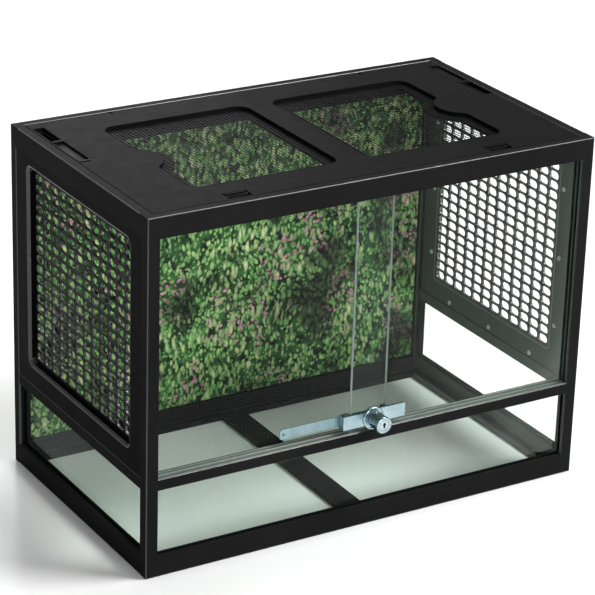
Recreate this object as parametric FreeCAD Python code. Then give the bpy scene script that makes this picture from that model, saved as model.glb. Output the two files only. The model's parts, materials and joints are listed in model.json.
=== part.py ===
import FreeCAD, Part
import os

# Framed glass pet cage: black profile frame, vented side panels, two sliding
# glass doors with a showcase lock, and a hinged lid with two wire-mesh windows.
# Millimetres, +X to the right seen from the front, +Y to the back, +Z up,
# origin at the bottom centre.

# ---------------------------------------------------------------- sizes
width = 600.0            # overall, left to right
depth = 350.0            # overall, front to back
height = 443.0           # overall

post_w = 15.0            # square corner posts
base_h = 26.0            # base rails, height
base_wall = 12.0         # base rails, outer wall
base_ledge = 10.0        # ledge that carries the floor pane
top_h = 26.0             # top rails, height
top_back_w = 20.0        # back top rail with the lid ledge
top_side_w = 15.0        # side top rails
back_drop = 14.0         # apron of the back rail, between the posts
back_drop_w = 12.0
rim_w = 12.0             # part of a top rail that stands beside the lid
mid_h = 14.0             # mid rails, height
mid_side_w = 12.0        # side mid rails
mid_z = 110.0            # underside of the mid rails
edge_r = 1.2             # rounding of the outer frame edges
seam_bevel = 1.0         # bevel along the visible panel seams
rim_bevel = 0.5          # bevel of the rim round the lid

glass_t = 4.0            # fixed panes
glass_inset = 5.5        # outer frame face to the pane
glass_hold = 5.0         # pane edge inside a rail's groove
pane_corner = 0.5        # pane to the pane that it meets in a corner
fit_side = 0.5           # clearance on each face of a pane
fit_end = 1.0            # clearance beyond a pane's edge
floor_z = 8.0            # underside of the floor pane
floor_bar_w = 30.0       # bar under the middle of the floor pane
backdrop_t = 1.0         # background sheet behind the back pane

door_t = 4.0             # sliding doors
door_overlap = 54.0      # how far the closed doors overlap
track_wall = 2.0         # outer walls of a track
track_fin = 3.0          # wall between the two door grooves
track_lip = 1.5          # rail left in front of and behind a track
lower_groove = 5.0       # depth of the lower door grooves
upper_web = 3.7          # rail left above the upper track
track_floor = 1.0        # web under a groove
door_lift = 0.5          # door above its groove floor
door_side_hold = 3.5     # door edge inside a post
post_lug = 13.0          # inner lug of a front post, front to back
post_lug_w = 5.0         # the same, across

panel_skin = 8.4         # side panel, thickness of the plate
panel_recess = 0.3       # panel face behind the frame face
panel_gap = 0.2          # panel to post and rails
vent_border = 30.0       # post to the opening in a side panel
vent_border_low = 26.0   # mid rail to the opening
vent_border_top = 14.0   # top rail to the opening
vent_r = 7.0             # its corner radius
vent_round = 4.0         # rounding of its outer edge
sheet_t = 2.7            # perforated sheet
sheet_clear = 2.0        # sheet to the rails and to the lug of the front post
sheet_bead = 0.5         # height of the bead round the perforated field
sheet_bead_w = 1.4
holes_drop = 1.0         # field of holes below the centre of the opening
hole_pitch_y = 21.0
hole_pitch_z = 12.75
hole_w = 18.0
hole_h = 10.5
screw_r = 1.5
screw_len = 6.0
screw_head_r = 3.0
screw_head_t = 1.8
screw_corner_y = 40.0    # outer screws of a row to the corners of the opening
screw_corner_z = 36.5
screw_edge = 5.0         # lower row above the edge of the sheet
head_slot = 0.8          # driver slot
screw_fit = 0.1

lid_t = 8.0
lid_gap = 0.8            # lid to rim, all round
lid_lift = 0.3           # lid above its ledge
lid_wall = 2.5           # lid left in front of a latch
window_side = 74.7       # lid's side edge to a window
window_end = 48.7        # lid's front and rear edges to a window
window_r = 17.0
window_bar = 33.0        # bar between the windows
window_ledge = 13.0      # ledge that carries the mesh
window_well = 5.0        # depth of a window recess
tab_r = 36.0             # round tab in the outer side of a window
tab_out = 20.0           # how far it stands into the window
tab_blend = 8.0
mesh_pitch = 5.0
mesh_wire = 0.5
mesh_fit = 0.5           # mesh to the wall of its recess
hinge_pin_r = 1.5
hinge_pin_in = 9.0       # pin inside the lid
hinge_pin_out = 7.0      # pin inside the rim
hinge_fit = 0.08
slot_w = 3.0             # relief slots by the hinge edge
slot_l = 8.0
slot_d = 1.5

latch_side = 111.2       # latch centre to the lid's side edge
latch_w = 31.0
latch_l = 17.0
latch_block_l = 8.5
latch_travel = 5.0
latch_fit = 0.5
latch_low = 1.4          # latch block below the lid's top
lip_in = 2.0             # finger lip inside the block's edges
lip_proud = 0.4          # finger lip above the lid's top
tongue_w = 16.0
tongue_t = 2.0
tongue_z = 3.6           # tongue centre below the lid's top
tongue_back = 0.4        # drawn-back tongue behind the lid's front edge
finger_t = 1.6

port_w = 14.0            # cable port recess, across
port_l = 127.0
port_wall = 2.0          # lid left beside the recess
port_d = 4.6
port_back = 30.0         # its rear end from the back of the cage
port_hole_w = 10.0
port_hole_l = 44.0
port_hole_in = 1.5       # hole from the outer side of the recess
port_hole_back = 6.0     # hole from the rear end of the recess
cover_l = 76.0
cover_t = 1.8
cover_fit = 0.3
cover_ridge = 4.0        # finger ridges of a cover, front to back
cover_proud = 0.8        # ridge above the lid's top
cover_round = 0.6        # rounding of a ridge

bar_h = 13.0             # lock bar
bar_t = 1.5
bar_up = 8.0             # its lower edge above the mid rail
bar_tail = 12.0          # bar beyond the last notch
notch_pitch = 3.0        # ratchet notches across the bar
notch_w = 1.5
notch_d = 0.6
notch_count = 25
bar_hook = 6.0
bar_end_r = 4.0
bar_eye_r = 1.75
lock_in = 30.0           # lock axis from the outer door's edge
flange_rim = 4.15        # flange beyond the barrel
flange_t = 5.0
flange_ring = 2.0        # depth of the ring groove in the flange face
ring_in = 1.0            # groove from the barrel
ring_out = 1.5           # groove from the flange's edge
barrel_r = 10.35
barrel_l = 22.0
flange_round = 1.5
barrel_round = 1.0
plug_round = 0.5
plug_r = 6.5
plug_fit = 0.08
plate_t = 2.5
plate_up = 2.0           # plate centre above the lock axis
plate_end = 45.0         # plate beyond the lock axis
jaw_l = 11.0             # jaw round the outer door's edge
jaw_gap = 0.4            # jaw to the door edge and to the bar
jaw_wall = 1.6
key_w = 2.2              # keyhole
key_h = 7.0
key_d = 9.0
pawl_w = 1.0             # pawl, along the bar
pawl_h = 6.0
pawl_room = 1.5          # space behind the pawl
pawl_wall = 1.1          # casting left in front of that space
pawl_fit = 0.1

# ---------------------------------------------------------------- places
half_w = width / 2
half_d = depth / 2
front = -half_d
back = half_d
top_z = height - top_h
mid_top = mid_z + mid_h
ledge_z = height - lid_t - lid_lift
track_y0 = front + track_lip
groove_w = door_t + 2 * fit_side
groove_y = [track_y0 + track_wall, track_y0 + track_wall + groove_w + track_fin]
track_y1 = groove_y[1] + groove_w + track_wall
front_w = track_y1 + track_lip - front             # front mid and top rails, depth of section
upper_groove = top_h - lid_t - lid_lift - upper_web - track_floor
door_top_hold = upper_groove - lower_groove        # room above a door, so that it lifts out
door_y = [y + fit_side for y in groove_y]          # outer door, then inner door
door_z0 = mid_top - lower_groove + door_lift
door_z1 = top_z + door_top_hold
door_end = half_w - post_w + door_side_hold
sheet_x = half_w - panel_recess - panel_skin       # outer face of the perforated sheet
sheet_inner = sheet_x - sheet_t
sheet_y = half_d - post_w - post_lug - sheet_clear
sheet_z0 = mid_top + sheet_clear
sheet_z1 = top_z - sheet_clear
vent_w = 2 * (half_d - post_w - vent_border)       # opening in a side panel
vent_h = top_z - vent_border_top - mid_top - vent_border_low
vent_z = mid_top + vent_border_low + vent_h / 2
hole_cols = int(vent_w / hole_pitch_y)
hole_rows = int(vent_h / hole_pitch_z)
pane_y = back - glass_inset - glass_t              # front face of the back pane
lid_x = half_w - rim_w - lid_gap
lid_y0 = front + rim_w + lid_gap
lid_y1 = back - rim_w - lid_gap
lid_z0 = height - lid_t
hinge_y = lid_y1 - lid_t / 2
hinge_z = height - lid_t / 2
window_w = lid_x - window_side - window_bar / 2
window_l = lid_y1 - lid_y0 - 2 * window_end
window_x = window_bar / 2 + window_w / 2           # centre of a window
well_z = height - window_well
latch_x = lid_x - latch_side
latch_y1 = lid_y0 + lid_wall                       # front end of a latch recess
port_y1 = back - port_back
port_y0 = port_y1 - port_l
port_x1 = lid_x - port_wall
port_x0 = port_x1 - port_w
port_floor = height - port_d
bar_z = mid_top + bar_up
lock_x = lock_in - door_overlap / 2
lock_z = bar_z + bar_h / 2
flange_r = barrel_r + flange_rim
bar_front = door_y[1] - bar_t
jaw_x1 = -door_overlap / 2 - jaw_gap
jaw_x0 = jaw_x1 - jaw_l
jaw_z0 = bar_z - jaw_gap - jaw_wall
jaw_z1 = bar_z + bar_h + jaw_gap + jaw_wall
pawl_x = (jaw_x0 + jaw_x1) / 2
pawl_y = bar_front - jaw_gap
pawl_z = bar_z + bar_h / 2
pawl_l = pawl_y - pawl_room - pawl_wall - (door_y[0] - plate_t)

parts = {}


# ---------------------------------------------------------------- helpers
def block(x0, x1, y0, y1, z0, z1):
    return Part.makeBox(x1 - x0, y1 - y0, z1 - z0, FreeCAD.Vector(x0, y0, z0))


def rod(r, length, start, axis):
    return Part.makeCylinder(r, length, FreeCAD.Vector(*start), FreeCAD.Vector(*axis))


def mirror_x(shape):
    return shape.mirror(FreeCAD.Vector(0, 0, 0), FreeCAD.Vector(1, 0, 0))


def cut_all(shape, tools):
    touching = [t for t in tools if shape.BoundBox.intersect(t.BoundBox)]
    return shape.cut(touching) if touching else shape


def along(edge, axis):
    """True if a straight edge runs along X (0), Y (1) or Z (2)."""
    d = edge.lastVertex().Point - edge.firstVertex().Point
    rest = [d.x, d.y, d.z]
    run = abs(rest.pop(axis))
    return run > 1e-6 and max(abs(v) for v in rest) < 1e-6


def edges_at(shape, axis, x=None, y=None, z=None):
    """Straight edges along an axis whose centre has the given coordinates."""
    found = []
    for e in shape.Edges:
        if not along(e, axis):
            continue
        c = e.CenterOfMass
        wanted = [(x, c.x), (y, c.y), (z, c.z)]
        if all(w is None or abs(w - v) < 1e-4 for w, v in wanted):
            found.append(e)
    return found


def rounded_plate(cx, cy, w, l, r, z0, z1):
    """Upright plate with rounded corners, seen from above."""
    s = block(cx - w / 2, cx + w / 2, cy - l / 2, cy + l / 2, z0, z1)
    corners = [e for e in s.Edges if along(e, 2)]
    return s.makeFillet(r, corners)


def rounded_wall(cy, cz, w, h, r, x0, x1):
    """The same, standing in a side wall and seen along X."""
    s = block(x0, x1, cy - w / 2, cy + w / 2, cz - h / 2, cz + h / 2)
    corners = [e for e in s.Edges if along(e, 0)]
    return s.makeFillet(r, corners)


def obround_hole(cy, cz, w, h, x0, x1):
    """Hole with round ends along Y, cut along X."""
    r = h / 2
    y0 = cy - w / 2 + r
    y1 = cy + w / 2 - r
    v = [FreeCAD.Vector(x0, y, z) for y, z in
         ((y0, cz - r), (y1, cz - r), (y1 + r, cz), (y1, cz + r), (y0, cz + r), (y0 - r, cz))]
    path = [Part.makeLine(v[0], v[1]),
            Part.Arc(v[1], v[2], v[3]).toShape(),
            Part.makeLine(v[3], v[4]),
            Part.Arc(v[4], v[5], v[0]).toShape()]
    return Part.Face(Part.Wire(path)).extrude(FreeCAD.Vector(x1 - x0, 0, 0))


def both_sides(name, shape_right):
    """Stores a right-hand piece and its mirror image."""
    parts[name + "_right"] = shape_right
    parts[name + "_left"] = mirror_x(shape_right)


# ---------------------------------------------------------------- glass and its grooves
def pane_groove(x0, x1, y0, y1, z0, z1, thin_axis):
    """Room for a pane: a face clearance across it and an end clearance beyond its edges."""
    grow = [fit_end, fit_end, fit_end]
    grow[thin_axis] = fit_side
    gx, gy, gz = grow
    return block(x0 - gx, x1 + gx, y0 - gy, y1 + gy, z0 - gz, z1 + gz)


pane_x = half_w - glass_inset - glass_t - pane_corner
side_pane_x = (half_w - glass_inset - glass_t, half_w - glass_inset)
side_pane_y = half_d - glass_inset - glass_t - pane_corner
front_pane_y = (front + glass_inset, front + glass_inset + glass_t)
lower_z = (base_h - glass_hold, mid_z + glass_hold)
panel_z = (mid_top - glass_hold, top_z + glass_hold)
floor_x = half_w - base_wall - fit_end
floor_y = half_d - base_wall - fit_end

pane_boxes = {
    "glass_front_lower": (-pane_x, pane_x, *front_pane_y, *lower_z, 1),
    "glass_right_lower": (*side_pane_x, -side_pane_y, side_pane_y, *lower_z, 0),
    "glass_left_lower": (-side_pane_x[1], -side_pane_x[0], -side_pane_y, side_pane_y, *lower_z, 0),
    "glass_back": (-pane_x, pane_x, pane_y, pane_y + glass_t, base_h - glass_hold, panel_z[1], 1),
    "glass_floor": (-floor_x, floor_x, -floor_y, floor_y, floor_z, floor_z + glass_t, 2),
}
grooves = [pane_groove(*b) for name, b in pane_boxes.items() if name != "glass_floor"]
for name, b in pane_boxes.items():
    parts[name] = block(*b[:6])

# the upper side panels have tongues as thick as a pane, in the same grooves
tongue_right = block(*side_pane_x, -side_pane_y, side_pane_y, *panel_z)
for side in (1, -1):
    x0, x1 = sorted((side * side_pane_x[0], side * side_pane_x[1]))
    grooves.append(pane_groove(x0, x1, -side_pane_y, side_pane_y, *panel_z, 0))

# the background sheet lies on the outside of the back pane
backdrop_y = pane_y + glass_t
parts["background_sheet"] = block(-half_w + post_w + panel_gap, half_w - post_w - panel_gap,
                                  backdrop_y, backdrop_y + backdrop_t,
                                  base_h + panel_gap, top_z - back_drop - panel_gap)


# ---------------------------------------------------------------- doors and tracks
def door_grooves(z0, z1, x_end):
    return [block(-x_end, x_end, y, y + groove_w, z0, z1) for y in groove_y]


post_groove_x = door_end + fit_side
rail_x = half_w - post_w
lower_track = block(-rail_x, rail_x, track_y0, track_y1,
                    mid_top - lower_groove - track_floor, mid_top)
upper_track = block(-post_groove_x, post_groove_x, track_y0, track_y1,
                    top_z, top_z + upper_groove + track_floor)
parts["door_track_lower"] = lower_track.cut(door_grooves(mid_top - lower_groove, mid_top, rail_x))
parts["door_track_upper"] = upper_track.cut(door_grooves(top_z, top_z + upper_groove, post_groove_x))


def door(x0, x1, y0):
    s = block(x0, x1, y0, y0 + door_t, door_z0, door_z1)
    return s.makeChamfer(0.4, s.Edges)


parts["door_right"] = door(-door_overlap / 2, door_end, door_y[0])
parts["door_left"] = door(-door_end, door_overlap / 2, door_y[1])

# ---------------------------------------------------------------- posts
screw_at = glass_inset - 0.8                       # corner screws, from both outer faces


def make_post(is_front):
    """Right-hand post, grooved for panes, panels and doors."""
    if is_front:
        s = block(half_w - post_w, half_w, front, front + post_w, base_h, top_z)
        lug_x = half_w - post_w
        lug = block(lug_x, lug_x + post_lug_w, front + post_w, front + post_w + post_lug, mid_top, top_z)
        s = s.fuse(lug).removeSplitter()
        outer_y = front
    else:
        s = block(half_w - post_w, half_w, back - post_w, back, base_h, top_z)
        outer_y = back
    s = s.makeFillet(edge_r, edges_at(s, 2, x=half_w, y=outer_y))
    if not is_front:
        s = s.makeChamfer(seam_bevel * 2, edges_at(s, 2, x=half_w, y=back - post_w))
    s = cut_all(s, grooves)
    if is_front:
        for y in groove_y:
            s = s.cut(block(half_w - post_w - 1, post_groove_x, y, y + groove_w,
                            mid_top - lower_groove, top_z))
    y = outer_y + (screw_at if is_front else -screw_at)
    pilot = rod(screw_r + screw_fit, screw_len * 4, (half_w - screw_at, y, base_h), (0, 0, 1))
    peg = rod(screw_r + screw_fit, screw_len * 2, (half_w - screw_at, y, top_z), (0, 0, -1))
    return s.cut([pilot, peg])


both_sides("post_front", make_post(True))
both_sides("post_rear", make_post(False))

corner_screws = []
corner_dowels = []
screw_holes = []
dowel_holes = []
for sx in (1, -1):
    for sy in (1, -1):
        x = sx * (half_w - screw_at)
        y = sy * (half_d - screw_at)
        shank = rod(screw_r, base_h + screw_len * 3 - 1, (x, y, 1), (0, 0, 1))
        head = Part.makeCone(screw_head_r, screw_r, 2.0, FreeCAD.Vector(x, y, 1), FreeCAD.Vector(0, 0, 1))
        corner_screws.append(shank.fuse(head))
        clear_head = Part.makeCone(screw_head_r + 2 * screw_fit, screw_r + screw_fit, 2.2,
                                   FreeCAD.Vector(x, y, 1), FreeCAD.Vector(0, 0, 1))
        mouth = rod(screw_head_r + 2 * screw_fit, 1, (x, y, 0), (0, 0, 1))
        screw_holes.append(rod(screw_r + screw_fit, base_h, (x, y, 0), (0, 0, 1)))
        screw_holes.append(clear_head.fuse(mouth))
        corner_dowels.append(rod(screw_r, screw_len * 3.5, (x, y, top_z - screw_len * 1.8), (0, 0, 1)))
        dowel_holes.append(rod(screw_r + screw_fit, screw_len * 2, (x, y, top_z), (0, 0, 1)))
parts["corner_screws"] = Part.makeCompound(corner_screws)
parts["corner_dowels"] = Part.makeCompound(corner_dowels)

# ---------------------------------------------------------------- base rails
ledge_x = half_w - base_wall
ledge_y = half_d - base_wall
base_front = block(-half_w, half_w, front, front + base_wall, 0, base_h)
base_front = base_front.makeFillet(edge_r, edges_at(base_front, 2, y=front)
                                   + edges_at(base_front, 0, y=front, z=0))
base_front = base_front.fuse(block(-ledge_x, ledge_x, -ledge_y, -ledge_y + base_ledge, 0, floor_z))
base_front = cut_all(base_front.removeSplitter(), grooves + screw_holes)
base_right = block(ledge_x, half_w, -ledge_y, ledge_y, 0, base_h)
base_right = base_right.makeFillet(edge_r, edges_at(base_right, 1, x=half_w, z=0))
side_ledge_y = ledge_y - base_ledge
base_right = base_right.fuse(block(ledge_x - base_ledge, ledge_x, -side_ledge_y, side_ledge_y, 0, floor_z))
parts["base_rail_front"] = base_front
parts["base_rail_back"] = base_front.mirror(FreeCAD.Vector(0, 0, 0), FreeCAD.Vector(0, 1, 0))
both_sides("base_rail", cut_all(base_right.removeSplitter(), grooves))
parts["floor_bar"] = block(-floor_bar_w / 2, floor_bar_w / 2, -side_ledge_y, side_ledge_y, 0, floor_z)

# ---------------------------------------------------------------- mid rails
track_seat = block(-rail_x, rail_x, track_y0, track_y1,
                   mid_top - lower_groove - track_floor, mid_top)
mid_front = block(-rail_x, rail_x, front, front + front_w, mid_z, mid_top)
mid_front = mid_front.makeChamfer(seam_bevel / 2, edges_at(mid_front, 0, y=front))
parts["mid_rail_front"] = cut_all(mid_front, grooves + [track_seat])

mid_side = block(half_w - mid_side_w, half_w, front + post_w, back - post_w, mid_z, mid_top)
mid_side = mid_side.makeChamfer(seam_bevel, edges_at(mid_side, 1, x=half_w, z=mid_top))
door_notch = block(half_w - mid_side_w - 1, post_groove_x, front + post_w - 1, groove_y[1] + groove_w,
                   mid_top - lower_groove, mid_top)
both_sides("mid_rail", cut_all(mid_side, grooves + [door_notch]))

# ---------------------------------------------------------------- top rails
latch_pocket_h = tongue_t + 2 * latch_fit
latch_pockets = [block(sx * latch_x - tongue_w / 2 - latch_fit, sx * latch_x + tongue_w / 2 + latch_fit,
                       front + rim_w - latch_travel - latch_fit, front + rim_w,
                       height - tongue_z - latch_pocket_h / 2, height - tongue_z + latch_pocket_h / 2)
                 for sx in (1, -1)]
upper_seat = block(-post_groove_x, post_groove_x, track_y0, track_y1,
                   top_z, top_z + upper_groove + track_floor)
lid_room = block(-half_w + rim_w, half_w - rim_w, front + rim_w, back - rim_w, ledge_z, height)
pin_holes = []
for sx in (1, -1):
    rim_at = (sx * (half_w - rim_w), hinge_y, hinge_z)
    pin_holes.append(rod(hinge_pin_r + hinge_fit, hinge_pin_out + rim_w, rim_at, (-sx, 0, 0)))
    pin_holes.append(rod(hinge_pin_r, hinge_pin_out, rim_at, (sx, 0, 0)))
port_hole_y1 = port_y1 - port_hole_back
port_hole_y0 = port_hole_y1 - port_hole_l
port_hole_x0 = port_x1 - port_hole_in - port_hole_w


def bevel_rim(rail):
    """Bevels a top rail's upper edges beside the lid."""
    found = edges_at(rail, 0, y=front + rim_w, z=height) + edges_at(rail, 0, y=back - rim_w, z=height)
    for x in (half_w - rim_w, rim_w - half_w):
        found += edges_at(rail, 1, x=x, z=height)
    return rail.makeChamfer(rim_bevel, found)


top_front = block(-half_w, half_w, front, front + front_w, top_z, height)
top_front = top_front.makeFillet(edge_r, edges_at(top_front, 2, y=front)
                                 + edges_at(top_front, 0, y=front, z=height))
front_cuts = grooves + dowel_holes + latch_pockets + [upper_seat, lid_room]
parts["top_rail_front"] = bevel_rim(cut_all(top_front, front_cuts))

top_back = block(-half_w, half_w, back - top_back_w, back, top_z, height)
top_back = top_back.makeFillet(edge_r, edges_at(top_back, 2, y=back)
                               + edges_at(top_back, 0, y=back, z=height))
skirt_x = half_w - post_w
top_back = top_back.fuse(block(-skirt_x, skirt_x, back - back_drop_w, back, top_z - back_drop, top_z))
back_cuts = grooves + dowel_holes + [lid_room] + pin_holes
parts["top_rail_back"] = bevel_rim(cut_all(top_back.removeSplitter(), back_cuts))

top_right = block(half_w - top_side_w, half_w, front + front_w, back - top_back_w, top_z, height)
top_right = top_right.makeFillet(edge_r, edges_at(top_right, 1, x=half_w, z=height))
parts["top_rail_right"] = bevel_rim(cut_all(top_right, grooves + [lid_room] + pin_holes))
parts["top_rail_left"] = mirror_x(parts["top_rail_right"])

# ---------------------------------------------------------------- vented side panels
panel_outer = half_w - panel_recess
panel_y = half_d - post_w - panel_gap


def make_side_panel():
    plate = block(sheet_x, panel_outer, -panel_y, panel_y, mid_top + panel_gap, top_z - panel_gap)
    plate = plate.fuse(tongue_right).removeSplitter()
    opening = rounded_wall(0, vent_z, vent_w, vent_h, vent_r, sheet_x - post_w, panel_outer)
    plate = plate.cut(opening)
    rim = [e for e in plate.Edges
           if abs(e.CenterOfMass.x - panel_outer) < 1e-4
           and abs(e.CenterOfMass.y) < vent_w / 2 + 1
           and abs(e.CenterOfMass.z - vent_z) < vent_h / 2 + 1]
    plate = plate.makeFillet(vent_round, rim)
    # the perforated sheet lies in a rebate in the inner face
    rebate = sheet_blank(min(sheet_inner, side_pane_x[0]) - 1, panel_gap)
    return plate.cut([rebate] + [screw_core(y, z) for y, z in vent_screws])


def sheet_blank(x0, grow=0.0):
    """Plate of the perforated sheet's outline, from x0 out to its outer face."""
    return block(x0, sheet_x, -sheet_y - grow, sheet_y + grow, sheet_z0 - grow, sheet_z1 + grow)


def screw_core(y, z):
    return rod(screw_r + screw_fit, screw_len, (sheet_inner, y, z), (1, 0, 0))


def make_vent_sheet():
    s = sheet_blank(sheet_inner)
    bead = rounded_wall(0, vent_z, vent_w, vent_h, vent_r, sheet_inner - sheet_bead, sheet_inner)
    inside = rounded_wall(0, vent_z, vent_w - 2 * sheet_bead_w, vent_h - 2 * sheet_bead_w,
                          vent_r - sheet_bead_w, sheet_inner - 1, sheet_inner)
    s = s.fuse(bead.cut(inside)).removeSplitter()
    holes = []
    for i in range(hole_cols):
        for j in range(hole_rows):
            y = (i - (hole_cols - 1) / 2) * hole_pitch_y
            z = vent_z - holes_drop + (j - (hole_rows - 1) / 2) * hole_pitch_z
            holes.append(obround_hole(y, z, hole_w, hole_h, sheet_inner - 1, sheet_x + 1))
    return s.cut(holes + [screw_core(y, z) for y, z in vent_screws])


def make_vent_screw(y, z):
    head = rod(screw_head_r, screw_head_t, (sheet_inner - screw_head_t, y, z), (1, 0, 0))
    rim = [e for e in head.Edges if abs(e.CenterOfMass.x - (sheet_inner - screw_head_t)) < 1e-4]
    head = head.makeFillet(screw_head_t * 0.6, rim)
    shank = rod(screw_r, screw_len - 0.5, (sheet_inner, y, z), (1, 0, 0))
    slot = block(sheet_inner - screw_head_t - 1, sheet_inner - screw_head_t * 0.5,
                 y - head_slot / 2, y + head_slot / 2, z - screw_head_r, z + screw_head_r)
    return head.fuse(shank).cut(slot)


side_rows_y = (vent_w / 2 + sheet_y) / 2           # halfway from the opening to the sheet's edge
top_row_z = (vent_z + vent_h / 2 + sheet_z1) / 2
vent_screws = []
for k in (-1, 0, 1):
    y = k * (vent_w / 2 - screw_corner_y)
    z = vent_z + k * (vent_h / 2 - screw_corner_z)
    vent_screws += [(-side_rows_y, z), (side_rows_y, z)]
    vent_screws += [(y, sheet_z0 + screw_edge), (y, top_row_z)]
both_sides("side_panel", make_side_panel())
both_sides("vent_sheet", make_vent_sheet())
both_sides("vent_screws", Part.makeCompound([make_vent_screw(y, z) for y, z in vent_screws]))


# ---------------------------------------------------------------- lid
def window_shape(inset, z0, z1):
    """Right-hand window opening: a rounded rectangle with the round tab left standing."""
    s = rounded_plate(window_x, 0, window_w - 2 * inset, window_l - 2 * inset,
                      max(window_r - inset, 4.0), z0, z1)
    tab_x = window_x + window_w / 2 + tab_r - tab_out
    tab = rod(tab_r + inset, z1 - z0, (tab_x, 0, z0), (0, 0, 1))
    s = s.cut(tab)
    edge_x = window_x + window_w / 2 - inset
    joints = [e for e in edges_at(s, 2, x=edge_x) if abs(e.CenterOfMass.y) < tab_r + inset]
    return s.makeFillet(tab_blend, joints)


def make_lid():
    s = block(-lid_x, lid_x, lid_y0, lid_y1, lid_z0, height)
    s = s.makeFillet(lid_t / 2 - 0.01, edges_at(s, 0, y=lid_y1))
    cuts = []
    for mirror in (False, True):
        opening = window_shape(window_ledge, lid_z0 - 1, height + 1)
        recess = window_shape(0, well_z, height + 1)
        latch_hole = block(latch_x - latch_w / 2, latch_x + latch_w / 2, latch_y1, latch_y1 + latch_l,
                           height - port_d, height + 1)
        tongue_way = block(latch_x - tongue_w / 2 - latch_fit, latch_x + tongue_w / 2 + latch_fit,
                           lid_y0 - 1, latch_y1 + 1,
                           height - tongue_z - latch_pocket_h / 2, height - tongue_z + latch_pocket_h / 2)
        port = block(port_x0, port_x1, port_y0, port_y1, port_floor, height + 1)
        port_hole = block(port_hole_x0, port_hole_x0 + port_hole_w, port_hole_y0, port_hole_y1,
                          lid_z0 - 1, height)
        slot = block(latch_x - slot_w / 2, latch_x + slot_w / 2, lid_y1 - 2 - slot_l, lid_y1 - 2,
                     height - slot_d, height + 1)
        pin = rod(hinge_pin_r + hinge_fit, hinge_pin_in + 1, (lid_x + 1, hinge_y, hinge_z), (-1, 0, 0))
        cuts_here = [opening, recess, latch_hole, tongue_way, port, port_hole, slot, pin]
        cuts += [mirror_x(c) for c in cuts_here] if mirror else cuts_here
    return s.cut(cuts)


def make_mesh():
    """Right-hand mesh: two layers of crossing wires, trimmed to the window recess."""
    upper_z = well_z + mesh_wire
    outline = window_shape(mesh_fit, well_z, upper_z + mesh_wire)
    bars = []
    x = window_x - window_w / 2 + mesh_pitch / 2
    while x < window_x + window_w / 2:
        bars.append(block(x - mesh_wire / 2, x + mesh_wire / 2, -window_l, window_l,
                          upper_z, upper_z + mesh_wire))
        x += mesh_pitch
    y = -window_l / 2 + mesh_pitch / 2
    while y < window_l / 2:
        bars.append(block(0, 2 * window_x, y - mesh_wire / 2, y + mesh_wire / 2,
                          well_z, upper_z))
        y += mesh_pitch
    pieces = []
    for b in bars:
        pieces += b.common(outline).Solids
    return Part.makeCompound(pieces)


def make_latch():
    """Right-hand latch, drawn back: a sliding block with a finger lip and a tongue."""
    z0 = height - port_d + latch_fit / 2
    y1 = latch_y1 + latch_l - latch_fit
    y0 = y1 - latch_block_l
    block_w = latch_w / 2 - latch_fit
    lip_w = block_w - lip_in
    block_z = height - latch_low
    s = block(latch_x - block_w, latch_x + block_w, y0, y1, z0, block_z)
    lip = block(latch_x - lip_w, latch_x + lip_w, y1 - finger_t - lip_in, y1 - lip_in,
                block_z, height + lip_proud)
    tongue = block(latch_x - tongue_w / 2, latch_x + tongue_w / 2, lid_y0 + tongue_back, y0 + 1,
                   height - tongue_z - tongue_t / 2, height - tongue_z + tongue_t / 2)
    return s.fuse([lip, tongue]).removeSplitter()


def make_cover(rear_gap):
    """Right-hand cable cover; rear_gap is its distance from the rear end of the recess."""
    x0 = port_x0 + cover_fit
    x1 = port_x1 - cover_fit
    y1 = port_y1 - rear_gap
    y0 = y1 - cover_l
    z0 = port_floor + cover_fit
    s = block(x0, x1, y0, y1, z0, z0 + cover_t)
    for y in (y0, y1 - cover_ridge):
        s = s.fuse(block(x0, x1, y, y + cover_ridge, z0, height + cover_proud))
    s = s.removeSplitter()
    return s.makeFillet(cover_round, edges_at(s, 0, z=height + cover_proud))


cover_travel = port_l - cover_l - 2 * cover_fit
parts["lid_frame"] = make_lid()
both_sides("lid_mesh", make_mesh())
both_sides("lid_latch", make_latch())
parts["cable_cover_right"] = make_cover(cover_fit)
parts["cable_cover_left"] = mirror_x(make_cover(cover_fit + cover_travel))
parts["lid_hinge_pins"] = Part.makeCompound(
    [rod(hinge_pin_r, hinge_pin_out + lid_gap + hinge_pin_in - 0.5,
         (sx * (half_w - rim_w + hinge_pin_out), hinge_y, hinge_z), (-sx, 0, 0)) for sx in (1, -1)])


# ---------------------------------------------------------------- showcase lock
def rim_at_y(shape, y):
    """Edges of a turned piece's end face."""
    return [e for e in shape.Edges if abs(e.CenterOfMass.y - y) < 1e-4]


def make_lock_bar():
    """Flat bar on the inner door's front face, hooked round the door's edge."""
    edge_x = door_overlap / 2
    y1 = door_y[1]
    x0 = pawl_x - notch_count * notch_pitch - bar_tail
    s = block(x0, edge_x + bar_t, y1 - bar_t, y1, bar_z, bar_z + bar_h)
    s = s.makeFillet(bar_end_r, edges_at(s, 1, x=x0))
    side = block(edge_x, edge_x + bar_t, y1 - bar_t, y1 + door_t + bar_t, bar_z, bar_z + bar_h)
    hook = block(edge_x - bar_hook, edge_x + bar_t, y1 + door_t, y1 + door_t + bar_t, bar_z, bar_z + bar_h)
    s = s.fuse([side, hook]).removeSplitter()
    notches = []
    for k in range(notch_count):
        x = pawl_x - k * notch_pitch
        notches.append(block(x - notch_w / 2, x + notch_w / 2, bar_front - 1, bar_front + notch_d,
                             bar_z - 1, bar_z + bar_h + 1))
    eye = rod(bar_eye_r, bar_t + 2, (x0 + bar_end_r + 1, y1 + 1, bar_z + bar_h / 2), (0, -1, 0))
    return s.cut(notches + [eye])


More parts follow.
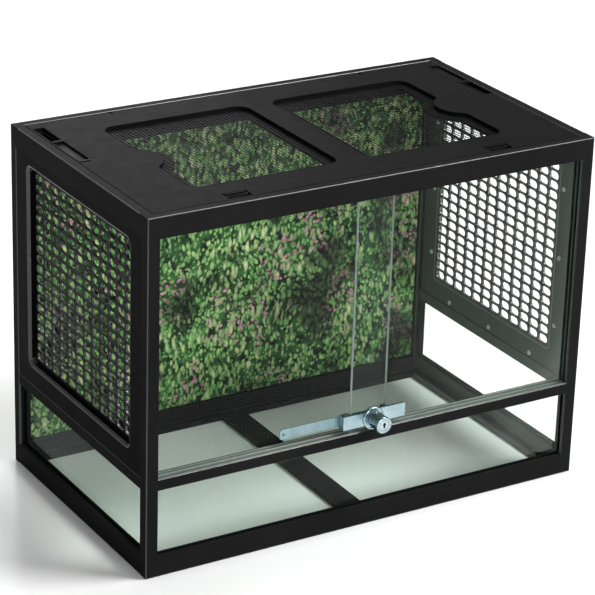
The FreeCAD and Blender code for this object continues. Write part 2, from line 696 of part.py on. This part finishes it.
def make_lock_body():
    """Casting on the outer door: plate, flange, barrel and a jaw round the door's edge."""
    face = door_y[0]
    plate = block(lock_x, lock_x + plate_end, face - plate_t, face, jaw_z0 + plate_up, jaw_z1 + plate_up)
    plate = plate.makeFillet(1.0, edges_at(plate, 2, x=lock_x + plate_end, y=face - plate_t)
                             + edges_at(plate, 1, x=lock_x + plate_end))
    flange = rod(flange_r, flange_t, (lock_x, face, lock_z), (0, -1, 0))
    flange = flange.makeFillet(flange_round, rim_at_y(flange, face - flange_t))
    barrel = rod(barrel_r, barrel_l + flange_t, (lock_x, face, lock_z), (0, -1, 0))
    barrel = barrel.makeFillet(barrel_round, rim_at_y(barrel, face - flange_t - barrel_l))
    arm = block(jaw_x0, lock_x, face - plate_t, face, jaw_z0, jaw_z1)
    jaw = block(jaw_x0, jaw_x1, face - plate_t, door_y[1] - jaw_gap, jaw_z0, jaw_z1)
    s = plate.fuse([flange, barrel, arm, jaw]).removeSplitter()
    channel = block(jaw_x0 - 1, jaw_x1 + 1, door_y[1] - bar_t - jaw_gap, door_y[1],
                    bar_z - jaw_gap, bar_z + bar_h + jaw_gap)
    bore = rod(plug_r + plug_fit, barrel_l + flange_t, (lock_x, face - 1.5, lock_z), (0, -1, 0))
    ring_at = (lock_x, face - flange_t + flange_ring, lock_z)
    ring = rod(flange_r - ring_out, flange_ring, ring_at, (0, -1, 0))
    ring = ring.cut(rod(barrel_r + ring_in, flange_ring, ring_at, (0, -1, 0)))
    pawl_way = block(pawl_x - pawl_w / 2 - pawl_fit, pawl_x + pawl_w / 2 + pawl_fit,
                     pawl_y - pawl_l - pawl_room, pawl_y + 1,
                     pawl_z - pawl_h / 2 - pawl_fit, pawl_z + pawl_h / 2 + pawl_fit)
    return s.cut([channel, bore, ring, pawl_way])


def make_lock_plug():
    tip = door_y[0] - flange_t - barrel_l
    s = rod(plug_r, barrel_l + flange_t - 2, (lock_x, tip, lock_z), (0, 1, 0))
    s = s.makeFillet(plug_round, rim_at_y(s, tip))
    slit = block(lock_x - key_w / 2, lock_x + key_w / 2, tip - 1, tip + key_d,
                 lock_z - key_h / 2, lock_z + key_h / 2)
    eye = rod(key_w * 0.9, key_d + 1, (lock_x, tip - 1, lock_z + key_h * 0.15), (0, 1, 0))
    return s.cut([slit, eye])


parts["lock_bar"] = make_lock_bar()
parts["lock_body"] = make_lock_body()
parts["lock_plug"] = make_lock_plug()
parts["lock_pawl"] = block(pawl_x - pawl_w / 2, pawl_x + pawl_w / 2, pawl_y - pawl_l, pawl_y,
                           pawl_z - pawl_h / 2, pawl_z + pawl_h / 2)

# ---------------------------------------------------------------- output
os.makedirs("parts", exist_ok=True)
for name, shape in sorted(parts.items()):
    shape.exportStep("parts/" + name + ".step")
    print("%-20s solids %3d  volume %9.1f  valid %s"
          % (name, len(shape.Solids), shape.Volume, shape.isValid()))
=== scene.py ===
import json
import math

import bpy
from mathutils import Euler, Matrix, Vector


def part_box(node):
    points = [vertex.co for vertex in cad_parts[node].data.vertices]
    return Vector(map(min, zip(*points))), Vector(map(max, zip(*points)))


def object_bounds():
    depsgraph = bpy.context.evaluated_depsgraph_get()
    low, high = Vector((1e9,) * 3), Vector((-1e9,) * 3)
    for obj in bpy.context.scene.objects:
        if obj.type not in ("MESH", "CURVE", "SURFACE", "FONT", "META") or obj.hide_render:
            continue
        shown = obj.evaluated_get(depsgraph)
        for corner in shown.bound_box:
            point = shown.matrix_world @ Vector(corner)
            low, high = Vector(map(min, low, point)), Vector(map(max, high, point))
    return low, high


# Look of the framed glass pet cage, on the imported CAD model. Metres.
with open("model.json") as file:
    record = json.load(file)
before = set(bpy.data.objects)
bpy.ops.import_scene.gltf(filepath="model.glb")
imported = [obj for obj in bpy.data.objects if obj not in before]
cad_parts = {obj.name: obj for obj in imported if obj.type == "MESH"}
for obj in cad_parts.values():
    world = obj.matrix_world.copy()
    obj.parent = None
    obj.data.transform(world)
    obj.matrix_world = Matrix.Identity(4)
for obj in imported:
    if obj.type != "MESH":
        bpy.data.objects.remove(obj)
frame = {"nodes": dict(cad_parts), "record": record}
cad_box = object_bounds()
nodes = frame["nodes"]

# ---------------------------------------------------------------- node material helpers


class Mat:
    """A node material with a Principled shader and short calls for its nodes."""

    def __init__(self, name):
        self.material = bpy.data.materials.new(name)
        self.material.use_nodes = True
        self.nodes = self.material.node_tree.nodes
        self.wire = self.material.node_tree.links.new
        self.shader = self.nodes["Principled BSDF"]
        self.surface = self.nodes["Material Output"].inputs["Surface"]
        self.coord = self.add("TexCoord").outputs["Object"]

    def add(self, kind):
        return self.nodes.new("ShaderNode" + kind)

    def set(self, **values):
        """Sets the shader's own sockets: Base_Color is the socket Base Color."""
        for key, value in values.items():
            self.put(value, self.shader.inputs[key.replace("_", " ")])

    def link(self, output, key):
        self.wire(output, self.shader.inputs[key])

    def put(self, value, socket):
        """Gives a socket another node's output, a colour or a number."""
        if hasattr(value, "is_linked"):
            self.wire(value, socket)
        elif isinstance(value, tuple):
            socket.default_value = (*value, 1.0)
        else:
            socket.default_value = value

    def mapped(self, scale, turn=(0, 0, 0)):
        mapping = self.add("Mapping")
        mapping.inputs["Scale"].default_value = scale
        mapping.inputs["Rotation"].default_value = turn
        self.wire(self.coord, mapping.inputs["Vector"])
        return mapping.outputs["Vector"]

    def noise(self, scale, detail=3.0, rough=0.5, at=None, out="Fac"):
        noise = self.add("TexNoise")
        noise.inputs["Scale"].default_value = scale
        noise.inputs["Detail"].default_value = detail
        noise.inputs["Roughness"].default_value = rough
        self.wire(at or self.coord, noise.inputs["Vector"])
        return noise.outputs[out]

    def ramp(self, factor, *stops):
        """A colour ramp; each stop is its position and a colour or a grey."""
        ramp = self.add("ValToRGB")
        elements = ramp.color_ramp.elements
        for element, (position, colour) in zip(elements, stops):
            element.position = position
            element.color = (*colour, 1.0) if isinstance(colour, tuple) else (colour, colour, colour, 1.0)
        self.wire(factor, ramp.inputs["Fac"])
        return ramp.outputs["Color"]

    def mix(self, factor, a, b, kind="MIX"):
        mix = self.add("Mix")
        mix.data_type = "RGBA"
        mix.blend_type = kind
        for name, socket_type, value in (("Factor", "VALUE", factor), ("A", "RGBA", a), ("B", "RGBA", b)):
            self.put(value, next(s for s in mix.inputs if s.name == name and s.type == socket_type))
        return next(s for s in mix.outputs if s.type == "RGBA")

    def multiply(self, a, b):
        return self.mix(1.0, a, b, "MULTIPLY")

    def bump(self, height, strength, distance):
        bump = self.add("Bump")
        bump.inputs["Strength"].default_value = strength
        bump.inputs["Distance"].default_value = distance
        self.wire(height, bump.inputs["Height"])
        self.link(bump.outputs["Normal"], "Normal")


# ---------------------------------------------------------------- materials
PLASTIC_GRAIN_DEPTH = 0.0002
FINE_GRAIN_DEPTH = 0.0001


def plastic(name, dark, light, rough, grain=900.0, strength=0.12, spec=0.2):
    """Coated or moulded part: slow tone changes, scuffed gloss and a fine grain."""
    m = Mat(name)
    scuff = m.noise(60.0, detail=6.0, rough=0.6)
    m.link(m.ramp(m.noise(9.0, detail=4.0), (0.3, dark), (0.7, light)), "Base Color")
    m.link(m.ramp(scuff, (0.3, rough - 0.04), (0.75, rough + 0.07)), "Roughness")
    m.bump(m.noise(grain, detail=2.0), strength, PLASTIC_GRAIN_DEPTH)
    m.set(Specular_IOR_Level=spec)
    return m.material


def metal(name, dark, light, rough, stretch=(1, 1, 1)):
    """Plated metal with a fine brushing, drawn out by stretch."""
    m = Mat(name)
    fine = m.noise(400.0, detail=4.0, rough=0.6, at=m.mapped(stretch))
    m.link(m.ramp(m.noise(30.0), (0.35, dark), (0.65, light)), "Base Color")
    m.link(m.ramp(fine, (0.3, rough - 0.05), (0.7, rough + 0.08)), "Roughness")
    m.bump(fine, strength=0.1, distance=FINE_GRAIN_DEPTH)
    m.set(Metallic=1.0)
    return m.material


def zinc_screw():
    """Bright zinc-plated head with a fine grain."""
    m = Mat("screw_zinc")
    m.link(m.ramp(m.noise(300.0), (0.35, (0.62, 0.64, 0.66)), (0.65, (0.85, 0.87, 0.88))), "Base Color")
    m.link(m.ramp(m.noise(900.0), (0.3, 0.14), (0.7, 0.26)), "Roughness")
    m.bump(m.noise(1200.0, detail=2.0), strength=0.15, distance=FINE_GRAIN_DEPTH)
    m.set(Metallic=0.35, Specular_IOR_Level=0.8)
    return m.material


GLASS_IOR = 1.45
GLASS_SHEEN = 0.07       # share of the full mirror image that is kept
GLASS_TINT = (0.978, 0.99, 0.983)
GLASS_TINT_ASLANT = (0.92, 0.96, 0.935)
GLASS_STREAK = 1.01      # how much clearer its clearest stretches are
REFLECTION = (0.92, 0.97, 0.95)
REFLECTION_ROUGHNESS = 0.02
SLANT_BLEND = 0.25


def clear_glass():
    """Thin float glass: light passes straight through, greener at a slant, under a faint reflection."""
    m = Mat("glass_clear")
    m.nodes.remove(m.shader)
    clear = m.add("BsdfTransparent")
    gloss = m.add("BsdfGlossy")
    gloss.inputs["Roughness"].default_value = REFLECTION_ROUGHNESS
    m.put(REFLECTION, gloss.inputs["Color"])
    fresnel = m.add("Fresnel")
    fresnel.inputs["IOR"].default_value = GLASS_IOR
    sheen = m.add("Math")
    sheen.operation = "MULTIPLY"
    sheen.inputs[1].default_value = GLASS_SHEEN
    m.wire(fresnel.outputs["Fac"], sheen.inputs[0])
    slant = m.add("LayerWeight")
    slant.inputs["Blend"].default_value = SLANT_BLEND
    streak = tuple(min(1.0, c * GLASS_STREAK) for c in GLASS_TINT)
    tint = m.ramp(m.noise(3.0, detail=2.0), (0.35, GLASS_TINT), (0.65, streak))
    m.wire(m.mix(slant.outputs["Facing"], tint, GLASS_TINT_ASLANT), clear.inputs["Color"])
    mix = m.add("MixShader")
    m.wire(sheen.outputs[0], mix.inputs["Fac"])
    m.wire(clear.outputs[0], mix.inputs[1])
    m.wire(gloss.outputs[0], mix.inputs[2])
    m.wire(mix.outputs[0], m.surface)
    return m.material


def glass_edge():
    """Ground pane edge: pale, slightly green, with fine grinding marks."""
    m = Mat("glass_edge")
    m.link(m.ramp(m.noise(40.0), (0.3, (0.34, 0.42, 0.40)), (0.7, (0.52, 0.58, 0.58))), "Base Color")
    marks = m.noise(900.0, detail=2.0, at=m.mapped((1, 1, 0.05)))
    m.bump(marks, strength=0.2, distance=FINE_GRAIN_DEPTH)
    m.set(Roughness=0.3)
    return m.material


# leaf layers of the print, from the back: cells per metre, their stretch and turn in degrees, how far
# a leaf reaches from the middle of its cell, and the darkest and lightest leaf
LEAF_LAYERS = (
    (230.0, (1.0, 0.2, 0.8), 25, 0.55, (0.12, 0.40, 0.10), (0.52, 0.90, 0.30)),
    (170.0, (1.0, 0.2, 0.55), -38, 0.5, (0.18, 0.54, 0.14), (0.80, 1.0, 0.42)),
    (120.0, (1.0, 0.2, 0.45), 22, 0.42, (0.28, 0.68, 0.19), (1.0, 1.0, 0.58)),
)
BLOOM_LAYER = (200.0, (1.0, 0.2, 1.0), 0, 0.5, (0.85, 0.22, 0.48), (0.95, 0.62, 0.60))
LEAF_BEND = (0.02, 0.02, 0.02)


def leaf_layer(m, scale, stretch, turn, cover, dark, light):
    """One layer of pointed leaves: its mask, a random number for each leaf, and its colour."""
    bent = m.add("VectorMath")
    bent.operation = "MULTIPLY_ADD"
    bent.inputs[1].default_value = LEAF_BEND
    m.wire(m.noise(18.0, out="Color"), bent.inputs[0])
    m.wire(m.mapped(stretch, (0, math.radians(turn), 0)), bent.inputs[2])
    cells = m.add("TexVoronoi")
    cells.inputs["Scale"].default_value = scale
    m.wire(bent.outputs[0], cells.inputs["Vector"])
    random = m.add("SeparateColor")
    m.wire(cells.outputs["Color"], random.inputs["Color"])
    mask = m.ramp(cells.outputs["Distance"], (cover - 0.06, 1.0), (cover, 0.0))
    shade = m.ramp(cells.outputs["Distance"], (0.0, 1.0), (cover, 0.42))
    colour = m.multiply(m.mix(random.outputs["Red"], dark, light), shade)
    return mask, random.outputs["Green"], colour


def backdrop():
    """Generic foliage print: layers of small leaves over dark gaps, with a few pink blooms."""
    m = Mat("backdrop_foliage")
    gaps = m.noise(60.0, detail=6.0, rough=0.65)
    tone = m.ramp(gaps, (0.42, (0.002, 0.006, 0.002)), (0.62, (0.05, 0.16, 0.04)))
    shadow = m.ramp(m.noise(11.0, detail=4.0, rough=0.55), (0.38, 0.18), (0.47, 1.0))
    for layer in LEAF_LAYERS:
        mask, number, colour = leaf_layer(m, *layer)
        tone = m.mix(m.multiply(mask, m.ramp(number, (0.38, 0.0), (0.4, 1.0))), tone, colour)
    mask, number, colour = leaf_layer(m, *BLOOM_LAYER)
    rare = m.multiply(mask, m.ramp(number, (0.5, 0.0), (0.52, 1.0)))
    patches = m.ramp(m.noise(13.0, detail=2.0), (0.55, 0.0), (0.59, 1.0))
    tone = m.mix(m.multiply(rare, patches), tone, colour)
    m.link(m.multiply(tone, shadow), "Base Color")
    m.set(Roughness=0.5, Specular_IOR_Level=0.2)
    return m.material


# the finish of each material slot in the record
FINISHES = {
    "frame": plastic("frame_black", (0.010, 0.010, 0.0104), (0.0138, 0.0138, 0.0142), 0.38, spec=0.008),
    "panel": plastic("panel_black", (0.0035, 0.0035, 0.0037), (0.0055, 0.0055, 0.0057), 0.4, spec=0.012),
    "lid": plastic("lid_black", (0.006, 0.006, 0.0062), (0.0085, 0.0085, 0.0087), 0.46,
                   grain=1400.0, strength=0.25, spec=0.018),
    "lid_trim": plastic("lid_trim_black", (0.0055, 0.0055, 0.0057), (0.008, 0.008, 0.0082), 0.42,
                        spec=0.04),
    "track": plastic("track_grey", (0.18, 0.215, 0.195), (0.25, 0.28, 0.26), 0.28, spec=0.4),
    "glass": clear_glass(),
    "backdrop": backdrop(),
    "vent_sheet": plastic("vent_sheet_black", (0.0045, 0.0045, 0.0047), (0.007, 0.007, 0.0073), 0.34,
                          spec=0.04),
    "mesh": metal("mesh_black", (0.02, 0.02, 0.022), (0.035, 0.035, 0.037), 0.42),
    "fastener": zinc_screw(),
    "lock_metal": metal("lock_satin_chrome", (0.33, 0.45, 0.49), (0.45, 0.56, 0.60), 0.24),
    "lock_steel": metal("lock_bar_steel", (0.26, 0.39, 0.42), (0.35, 0.47, 0.50), 0.3, stretch=(1, 1, 12)),
    "lock_plug": metal("lock_plug_steel", (0.42, 0.50, 0.52), (0.56, 0.63, 0.65), 0.22),
}
# second finishes, for some faces of a node: painted highlights on edges, bores and beads, and painted
# light on the inner faces
# rounded and slanted frame faces, lighter and glossier than the frame: a painted highlight along the edges
EDGE_PAINTED_HIGHLIGHT = plastic("frame_edge_painted_highlight", (0.03, 0.03, 0.031), (0.06, 0.06, 0.062), 0.3,
                      grain=300.0, strength=0.1, spec=0.6)
# faces that look into the cage: lighter green-grey than the black outside, painted light on the inner side
INSIDE_PAINTED_LIGHT = plastic("inside_painted_light_green_grey", (0.062, 0.080, 0.064), (0.082, 0.104, 0.084), 0.35)
# hole walls of the vent sheets: lighter and glossier than the sheet, painted glints in the bores
HOLE_WALL_PAINTED_HIGHLIGHT = plastic("vent_bore_painted_highlight", (0.05, 0.055, 0.05), (0.09, 0.095, 0.09), 0.22,
                    grain=500.0, strength=0.08, spec=0.7)
# raised bead round the hole field: grey on the black sheet, a painted highlight line
BEAD_PAINTED_HIGHLIGHT = plastic("vent_bead_painted_highlight", (0.16, 0.18, 0.165), (0.22, 0.24, 0.22), 0.3, spec=0.5)
GROUND_EDGE = glass_edge()

# ---------------------------------------------------------------- finishes on the pieces
SQUARE_ON = 0.985        # part of a normal along an axis, from which a face counts as square to it
ACROSS = 0.1             # and up to which it counts as lying along that axis
BEAD_DEPTH = 0.0004      # faces this near to the innermost one are the bead's


def finish_faces(name, material, chosen):
    """Gives the faces that chosen() picks their own finish."""
    mesh = nodes[name].data
    mesh.materials.append(material)
    slot = len(mesh.materials) - 1
    for face in mesh.polygons:
        if chosen(face.normal, face.center):
            face.material_index = slot


def slanted(normal, _centre):
    return max(abs(v) for v in normal) < SQUARE_ON


def looks_inward(normal, centre):
    return normal.x * centre.x < 0 and abs(normal.x) > SQUARE_ON


def pane_edge(normal, _centre):
    return abs(normal.y) < SQUARE_ON


def finish_vent_sheet(name):
    """The bead's faces stand furthest in and get a painted highlight line; the hole walls lie behind it,
    along x, and get painted glints.
    """
    bead_x = min(abs(corner.x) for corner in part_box(name)) + BEAD_DEPTH
    # painted highlight line on the bead
    finish_faces(name, BEAD_PAINTED_HIGHLIGHT, lambda normal, centre: abs(centre.x) < bead_x)
    # painted glints on the hole walls
    finish_faces(name, HOLE_WALL_PAINTED_HIGHLIGHT,
                 lambda normal, centre: abs(normal.x) < ACROSS and abs(centre.x) > bead_x)


for subpart in frame["record"]["subparts"]:
    piece = nodes[subpart["node"]]
    slot = subpart["material_slot"]
    piece.data.materials.clear()
    piece.data.materials.append(FINISHES[slot])
    if slot in ("frame", "panel"):
        # the rounded and slanted faces get the painted edge highlight
        finish_faces(subpart["node"], EDGE_PAINTED_HIGHLIGHT, slanted)
for side in ("left", "right"):
    # faces that look into the cage get the painted light
    for kind in ("vent_sheet_", "side_panel_", "mid_rail_", "base_rail_", "post_front_", "post_rear_"):
        finish_faces(kind + side, INSIDE_PAINTED_LIGHT, looks_inward)
    finish_vent_sheet("vent_sheet_" + side)
    finish_faces("door_" + side, GROUND_EDGE, pane_edge)

# ---------------------------------------------------------------- stage
FLOOR_SIZE = 12.0
FLOOR_DROP = 0.0002      # floor below the cage's underside
LIFT_FROM = 0.77         # the floor glows from this far out, so that it looks evenly white,
LIFT_FULL = 3.5          # and the most from here on
LIFT = 0.55              # strength of the glow there


def floor_material():
    m = Mat("floor_pale")
    m.link(m.ramp(m.noise(0.8), (0.3, 0.86), (0.7, 0.9)), "Base Color")
    nearness = m.add("TexGradient")
    nearness.gradient_type = "SPHERICAL"
    m.wire(m.mapped((1 / LIFT_FULL, 1 / LIFT_FULL, 1 / LIFT_FULL)), nearness.inputs["Vector"])
    glow = m.ramp(nearness.outputs["Fac"], (0.0, LIFT), (1 - LIFT_FROM / LIFT_FULL, 0.0))
    m.link(glow, "Emission Strength")
    m.set(Roughness=0.22, IOR=1.35, Emission_Color=(1.0, 1.0, 1.0))
    return m.material


bpy.ops.mesh.primitive_plane_add(size=FLOOR_SIZE, location=(0, 0, cad_box[0].z - FLOOR_DROP))
floor = bpy.context.object
floor.name = "stage_floor"
floor.data.materials.append(floor_material())

# ---------------------------------------------------------------- light
SKY_STRENGTH = 0.27
SKY_LOW = (0.75, 0.76, 0.78, 1)
SKY_HIGH = (1.0, 1.0, 1.0, 1)


def studio_sky():
    """Pale surroundings that get lighter towards the top."""
    world = bpy.data.worlds.new("studio")
    bpy.context.scene.world = world
    world.use_nodes = True
    add = world.node_tree.nodes.new
    wire = world.node_tree.links.new
    background = world.node_tree.nodes["Background"]
    coord = add("ShaderNodeTexCoord")
    mapping = add("ShaderNodeMapping")
    mapping.inputs["Rotation"].default_value = (0, math.radians(90), 0)
    gradient = add("ShaderNodeTexGradient")
    ramp = add("ShaderNodeValToRGB")
    ramp.color_ramp.elements[0].color = SKY_LOW
    ramp.color_ramp.elements[1].color = SKY_HIGH
    wire(coord.outputs["Generated"], mapping.inputs["Vector"])
    wire(mapping.outputs["Vector"], gradient.inputs["Vector"])
    wire(gradient.outputs["Fac"], ramp.inputs["Fac"])
    wire(ramp.outputs["Color"], background.inputs["Color"])
    background.inputs["Strength"].default_value = SKY_STRENGTH


def area_light(name, at, look_at, size, power):
    data = bpy.data.lights.new(name, "AREA")
    data.size = size
    data.energy = power
    light = bpy.data.objects.new(name, data)
    bpy.context.scene.collection.objects.link(light)
    light.location = at
    light.rotation_euler = (Vector(look_at) - Vector(at)).to_track_quat("-Z", "Y").to_euler()


CAGE_MIDDLE = (0.0, 0.0, 0.22)
FLOOR_BEHIND = (0.0, 0.9, 0.0)
studio_sky()
# the key stands where the front top edge throws it back to the camera
area_light("light_key", at=(1.25, -1.0, 2.35), look_at=CAGE_MIDDLE, size=1.0, power=84.0)
area_light("light_top", at=(0.3, 0.9, 2.7), look_at=CAGE_MIDDLE, size=1.6, power=34.0)
area_light("light_front", at=(-0.3, -2.8, 0.8), look_at=CAGE_MIDDLE, size=0.8, power=23.0)
area_light("light_back", at=(0.8, 3.0, 1.5), look_at=FLOOR_BEHIND, size=1.6, power=22.0)

# ---------------------------------------------------------------- camera, at the photo's angle
CAMERA_AT = (-1.5332, -2.5050, 1.4669)
CAMERA_TURN = (67.114, -1.647, -30.797)      # degrees
LENS = 158.15                                # mm
SENSOR = 36.0                                # mm
SHIFT = -0.0027
# a look through both doors and the back pane, and from there to a light, crosses at least twelve
# faces of glass, and Cycles stops at eight by itself
GLASS_FACES = 32

camera_data = bpy.data.cameras.new("camera")
camera_data.lens = LENS
camera_data.sensor_width = SENSOR
camera_data.shift_x = SHIFT
camera = bpy.data.objects.new("camera", camera_data)
bpy.context.scene.collection.objects.link(camera)
camera.location = CAMERA_AT
camera.rotation_euler = Euler([math.radians(angle) for angle in CAMERA_TURN])
bpy.context.scene.camera = camera
bpy.context.scene.view_settings.view_transform = "Standard"
bpy.context.scene.cycles.transparent_max_bounces = GLASS_FACES
